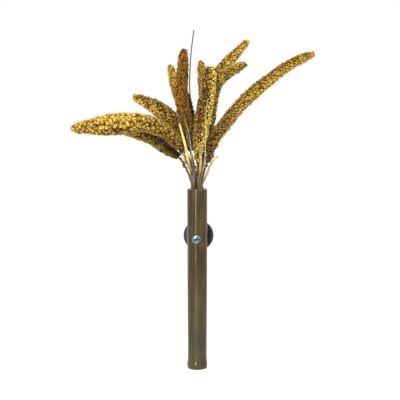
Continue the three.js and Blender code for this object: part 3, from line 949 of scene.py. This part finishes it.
def bamboo_tube():
    """The tube, turned about its axis from an outline that goes from its floor up the bore, over the
    rim, down the skin and into the hollow under its node."""
    random = np.random.default_rng(71)
    points, _ = joined_mesh("bamboo_tube")
    bottom, top = tube_low[2], tube_high[2]
    out = out_from(TUBE_MIDDLE, points, 0, 1)
    rim_out = out[points[:, 2] > top - 0.1 * MM]
    bore, outer = rim_out.min(), rim_out.max()
    node_heights = points[out < 0.1 * MM, 2]
    floor_low, floor_high = node_heights.min(), node_heights.max()
    on_skin = out > (bore + outer) / 2
    heights = np.unique(np.round(points[on_skin, 2], 5))
    radii = [out[on_skin & (abs(points[:, 2] - height) < 0.02 * MM)].max() for height in heights]

    inside = [(AXIS_GAP, floor_high), (bore * 0.5, floor_high), (bore, floor_high + 0.8 * MM),
              (bore, (floor_high + top) / 2), (bore, top - TUBE_EDGE)]
    rim = [(bore + TUBE_EDGE, top), (outer - TUBE_EDGE, top)]
    wall = np.clip(np.linspace(top, bottom, TUBE_ROWS), bottom + TUBE_EDGE, top - TUBE_EDGE)
    skin = [(np.interp(height, heights, radii) + SKIN_OUTSET, height) for height in wall]
    under = [(outer - TUBE_EDGE, bottom), (bore + TUBE_EDGE, bottom)]
    hollow = [(bore, bottom + TUBE_EDGE), (bore, floor_low - 0.6 * MM), (bore * 0.5, floor_low),
              (AXIS_GAP, floor_low)]
    outline = np.array(inside + rim + skin + under + hollow)
    is_skin = np.zeros(len(outline), bool)
    is_skin[len(inside + rim):][:len(skin)] = True

    angles = round_angles(TUBE_SIDES)
    reach = np.repeat(outline[:, :1], TUBE_SIDES, axis=1)
    height = np.repeat(outline[:, 1:], TUBE_SIDES, axis=1)
    lean = np.broadcast_to(3 * np.sin(angles + 0.6), reach.shape) + height / MM * 0.012
    relief = UNEVENNESS * waves(lean, random)
    relief += RIB_HEIGHT * np.cos(angles * RIBS) * np.cos(height / MM * 0.03)
    relief += COLLAR_RISE * np.exp(-((height - bottom - COLLAR_HEIGHT) / (0.7 * MM)) ** 2)
    relief -= SCAR_DEPTH * np.exp(-((height - bottom - SCAR_HEIGHT) / (0.6 * MM)) ** 2)
    reach = reach + np.where(is_skin[:, None], relief, 0)
    outside = reach > (bore + outer) / 2
    chips = np.clip(waves(angles * 5, random) - 0.35, 0, 1) * CHIP_DEPTH
    height = height - smoothstep(top - 1.2 * MM, top, height) * chips * outside
    worn = np.clip(waves(angles * 4, random) - 0.4, 0, 1) * WEAR_DEPTH
    height = height + (1 - smoothstep(bottom, bottom + 1.0 * MM, height)) * worn * outside

    rings = np.stack([TUBE_MIDDLE[0] + reach * np.cos(angles), TUBE_MIDDLE[1] + reach * np.sin(angles),
                      height], axis=-1)[::-1]
    points, faces, uvs = loft(rings)
    greyness = 1 - smoothstep(bottom, bottom + 0.6 * (top - bottom), height[::-1])
    shape = Shape()
    shape.add(points, faces, uvs, low=np.concatenate([greyness.ravel(), [1, 0]]))
    row_slots = ([BARE] * (len(inside) - 1) + [CUT] * (len(rim) + 1) + [SKIN] * (len(skin) - 1)
                 + [CUT] * (len(under) + 1) + [BARE] * (len(hollow) - 1))
    shape.slots = [np.repeat(row_slots[::-1], TUBE_SIDES), np.full(2 * TUBE_SIDES, BARE)]
    cut = clouded("bamboo_cut", {"size": 0.5, "stretch": (1, 1, 4)},
                  [(0.3, srgb(70, 48, 22)), (0.6, srgb(142, 118, 74))], (0, 1, 0.7, 0.9), bump=(0.15, 0.6))
    bare = clouded("bamboo_inside", {"size": 0.9, "detail": 4.0, "stretch": (1, 1, 25)},
                   [(0.3, srgb(50, 36, 20)), (0.7, srgb(100, 78, 46))], (0, 1, 0.65, 0.85), bump=(0.1, 0.5))
    put(shape.build("bamboo_vase", [bamboo_skin(), cut, bare], math.radians(40)), "bamboo_tube")


bamboo_tube()


# ---------------- screw and magnet base

TURNED_SIDES = 96
SCREW_SIDES = 56
AXIS_POINT = 0.01 * MM
SCREW_DOME = 2.3 * MM
SCREW_EDGE = 0.3 * MM
SCREW_END = 0.6 * MM
# A bar of the cross recess from outside the crown inwards: depth, half length and half width, in mm
RECESS = ((-1.0, 2.95, 0.84), (0.0, 2.8, 0.76), (1.2, 1.7, 0.52), (1.9, 0.9, 0.36))
RECESS_REACH = 0.66


def turned_rings(outline, centre, sides):
    """Rings round +Y from an outline of (radius, y) points."""
    outline = np.array(outline)
    angles = round_angles(sides)
    reach = outline[:, :1]
    return np.stack([centre[0] + reach * np.cos(angles), np.repeat(outline[:, 1:], sides, axis=1),
                     centre[2] + reach * np.sin(angles)], axis=-1)


def apply_modifiers(piece):
    graph = bpy.context.evaluated_depsgraph_get()
    mesh = bpy.data.meshes.new_from_object(piece.evaluated_get(graph))
    piece.modifiers.clear()
    piece.data = mesh


def recess_bar(centre, crown, turn):
    """One tapered bar of the cross recess, turned about the screw's axis."""
    rings = []
    for depth, length, width in RECESS:
        corners = [(-length, -width), (length, -width), (length, width), (-length, width)]
        rings.append([(centre[0] + (x * math.cos(turn) - z * math.sin(turn)) * MM, crown + depth * MM,
                       centre[2] + (x * math.sin(turn) + z * math.cos(turn)) * MM) for x, z in corners])
    shape = Shape()
    shape.add(*loft(np.array(rings)))
    return shape.build("recess_bar", [])


def screw():
    low, high = corners_of("mounting_screw")
    centre = (low + high) / 2
    crown, tip = low[1], high[1]
    head = (high[0] - low[0]) / 2
    points, _ = joined_mesh("mounting_screw")
    out = out_from(centre, points, 0, 2)
    seat = points[out > 0.9 * head, 1].max()
    shank = out[points[:, 1] > (seat + tip) / 2].max()
    outline = [(AXIS_POINT, crown)]
    outline += [(head * math.sin(angle), crown + SCREW_DOME * (1 - math.cos(angle)))
                for angle in np.linspace(0.08, math.pi / 2, 14)]
    outline += [(head, seat - SCREW_EDGE), (head - SCREW_EDGE, seat), (shank, seat)]
    outline += [(shank, y) for y in np.linspace(seat + SCREW_EDGE, tip - SCREW_END, 12)]
    outline += [(shank - SCREW_END, tip), (AXIS_POINT, tip)]
    shape = Shape()
    shape.add(*loft(turned_rings(outline, centre, SCREW_SIDES)))
    zinc = clouded("zinc_plate", {"size": 2.4, "detail": 2.0},
                   [(0.38, srgb(36, 50, 62)), (0.6, srgb(126, 150, 164))], (0.3, 0.7, 0.2, 0.34),
                   bump=(0.03, 0.4), pits={"size": 0.5}, Metallic=1.0)
    # The darker zinc in the cross recess is painted shade.
    recess_shade_zinc = clouded("zinc_recess_painted_shade", {"size": 0.8}, [(0.3, srgb(22, 30, 36)), (0.7, srgb(58, 72, 82))],
                        (0.3, 0.7, 0.4, 0.6), Metallic=0.6)
    piece = shape.build("pan_head_screw", [zinc, recess_shade_zinc])
    for turn in (0, math.pi / 2):
        bar = recess_bar(centre, crown, turn)
        cut = piece.modifiers.new("recess", "BOOLEAN")
        cut.object = bar
        cut.solver = "EXACT"
        apply_modifiers(piece)
        bpy.data.objects.remove(bar)
    # Faces down in the cross recess take the darker zinc: painted shade in the recess.
    for face in piece.data.polygons:
        middle = face.center
        reach = math.hypot(middle.x - centre[0], middle.z - centre[2])
        surface = crown + SCREW_DOME * (1 - math.sqrt(max(0.0, 1 - (reach / head) ** 2)))
        in_recess = reach < RECESS_REACH * head and surface + 0.12 * MM < middle.y < seat - SCREW_EDGE
        face.material_index = 1 if in_recess else 0
    bevel = piece.modifiers.new("soft_edges", "BEVEL")
    bevel.width = 0.12 * MM
    bevel.segments = 2
    bevel.limit_method = "ANGLE"
    apply_modifiers(piece)
    piece.data.set_sharp_from_angle(angle=math.radians(35))
    put(piece, "mounting_screw")


screw()

RUBBER_WALL = 0.9 * MM
RUBBER_EDGE = 1.9 * MM
RUBBER_HEM = 0.5 * MM
SEAM_DEPTH = 0.12 * MM


def rubber_disc():
    """The rubber skin, turned from an outline that goes over its hollow inside, out through its hole
    and round its outside, with a fine seam near the back."""
    low, high = corners_of("rubber_cover")
    centre = (low + high) / 2
    radius = (high[0] - low[0]) / 2
    front, back = low[1], high[1]
    points, _ = joined_mesh("rubber_cover")
    hole = out_from(centre, points, 0, 2)[points[:, 1] < front + 0.1 * MM].min()
    wall, soft, hem = RUBBER_WALL, RUBBER_EDGE, RUBBER_HEM
    outline = [(AXIS_POINT, back - wall), (radius - wall, back - wall), (radius - wall, front + soft),
               (radius - soft, front + wall), (hole, front + wall), (hole, front + 0.2 * MM),
               (hole + 0.2 * MM, front)]
    outline += [(radius - soft + soft * math.sin(angle), front + soft * (1 - math.cos(angle)))
                for angle in np.linspace(0, math.pi / 2, 12)]
    outline += [(radius, back - 1.3 * MM), (radius - SEAM_DEPTH, back - 1.15 * MM),
                (radius, back - 1.0 * MM)]
    outline += [(radius - hem + hem * math.cos(angle), back - hem + hem * math.sin(angle))
                for angle in np.linspace(0, math.pi / 2, 6)]
    outline += [(radius * 0.5, back), (AXIS_POINT, back)]
    shape = Shape()
    shape.add(*loft(turned_rings(outline, centre, TURNED_SIDES)))
    rubber = clouded("rubber_black", {"size": 5.0, "detail": 5.0},
                     [(0.3, srgb(14, 15, 17)), (0.75, srgb(30, 33, 36))], (0.3, 0.7, 0.42, 0.58),
                     bump=(0.04, 0.5), pits={"size": 0.4, "detail": 4.0}, Specular_IOR_Level=0.3)
    put(shape.build("rubber_skin", [rubber], math.radians(50)), "rubber_cover")


rubber_disc()


def metal(name, dark, light, size, smoothest, roughest):
    return clouded(name, {"size": size, "detail": 4.0, "stretch": (1, 6, 1)}, [(0.3, dark), (0.7, light)],
                   (0.3, 0.7, smoothest, roughest), bump=(0.02, 0.4), Metallic=1.0)


STEEL = metal("turned_steel", srgb(150, 152, 156), srgb(202, 204, 208), 0.6, 0.28, 0.4)
NICKEL = metal("nickel_plate", srgb(164, 164, 160), srgb(212, 210, 204), 1.2, 0.18, 0.3)
for node_name in sorted(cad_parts):
    if node_name == "steel_plate" or node_name.startswith("magnet_disc"):
        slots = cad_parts[node_name].material_slots
        slots[0].material = STEEL if node_name == "steel_plate" else NICKEL


# ---------------- stage, light and camera

FLOOR_DROP = 0.26
FLOOR_SIZE = 12.0
FLOOR_CELLS = 8


def floor():
    """A wide pale floor well below the tube, which hangs on a wall."""
    steps = np.linspace(-FLOOR_SIZE, FLOOR_SIZE, FLOOR_CELLS + 1)
    x, y = np.meshgrid(steps, steps, indexing="ij")
    number = np.arange(x.size).reshape(x.shape)
    corners = [number[:-1, :-1], number[1:, :-1], number[1:, 1:], number[:-1, 1:]]
    quads = np.stack(corners, axis=-1).reshape(-1, 4)
    shape = Shape()
    shape.add(np.stack([x, y, np.full_like(x, tube_low[2] - FLOOR_DROP)], axis=-1), [quads],
              [np.zeros((len(quads), 4, 2))])
    nodes = Nodes("floor_pale")
    pale = nodes.ramp(nodes.noise(900.0), [(0.3, (0.9, 0.9, 0.9, 1)), (0.7, (0.93, 0.93, 0.93, 1))])
    nodes.set(Base_Color=pale, Roughness=0.9, Emission_Color=(1, 1, 1, 1), Emission_Strength=0.12)
    shape.build("floor", [nodes.material])


floor()


def aim(thing, target, azimuth, elevation, distance):
    """Puts a lamp or the camera at a distance from its target, facing it. Azimuth 0 is the front and
    90 the right, in degrees."""
    azimuth, elevation = math.radians(azimuth), math.radians(elevation)
    back = Vector((math.sin(azimuth) * math.cos(elevation), -math.cos(azimuth) * math.cos(elevation),
                   math.sin(elevation)))
    thing.location = target + back * distance
    thing.rotation_mode = "QUATERNION"
    thing.rotation_quaternion = (-back).to_track_quat("-Z", "Y")


LIGHT_AIM = Vector((0, TUBE_MIDDLE[1], 0.08))


def soft_light(name, azimuth, elevation, distance, width, height, power):
    light = bpy.data.lights.new(name, "AREA")
    light.shape = "RECTANGLE"
    light.size = width
    light.size_y = height
    light.energy = power
    aim(add_object(name, light), LIGHT_AIM, azimuth, elevation, distance)


soft_light("key", azimuth=-13, elevation=12, distance=1.3, width=0.14, height=1.3, power=19)
soft_light("top", azimuth=-30, elevation=58, distance=1.5, width=0.9, height=0.9, power=9)
soft_light("fill", azimuth=65, elevation=15, distance=1.6, width=0.8, height=1.0, power=4)

world = bpy.data.worlds.new("studio")
bpy.context.scene.world = world
world.use_nodes = True
world.node_tree.nodes["Background"].inputs["Color"].default_value = (1, 1, 1, 1)
world.node_tree.nodes["Background"].inputs["Strength"].default_value = 1.0
bpy.context.scene.view_settings.view_transform = "Standard"

camera = bpy.data.cameras.new("camera")
camera.lens = 81.05
camera.sensor_width = 36
camera.clip_start = 0.01
camera.clip_end = 100
viewer = add_object("camera", camera)
aim(viewer, Vector((0.0028, -0.019, 0.0387)), azimuth=4.5, elevation=6.5, distance=0.914)
bpy.context.scene.camera = viewer
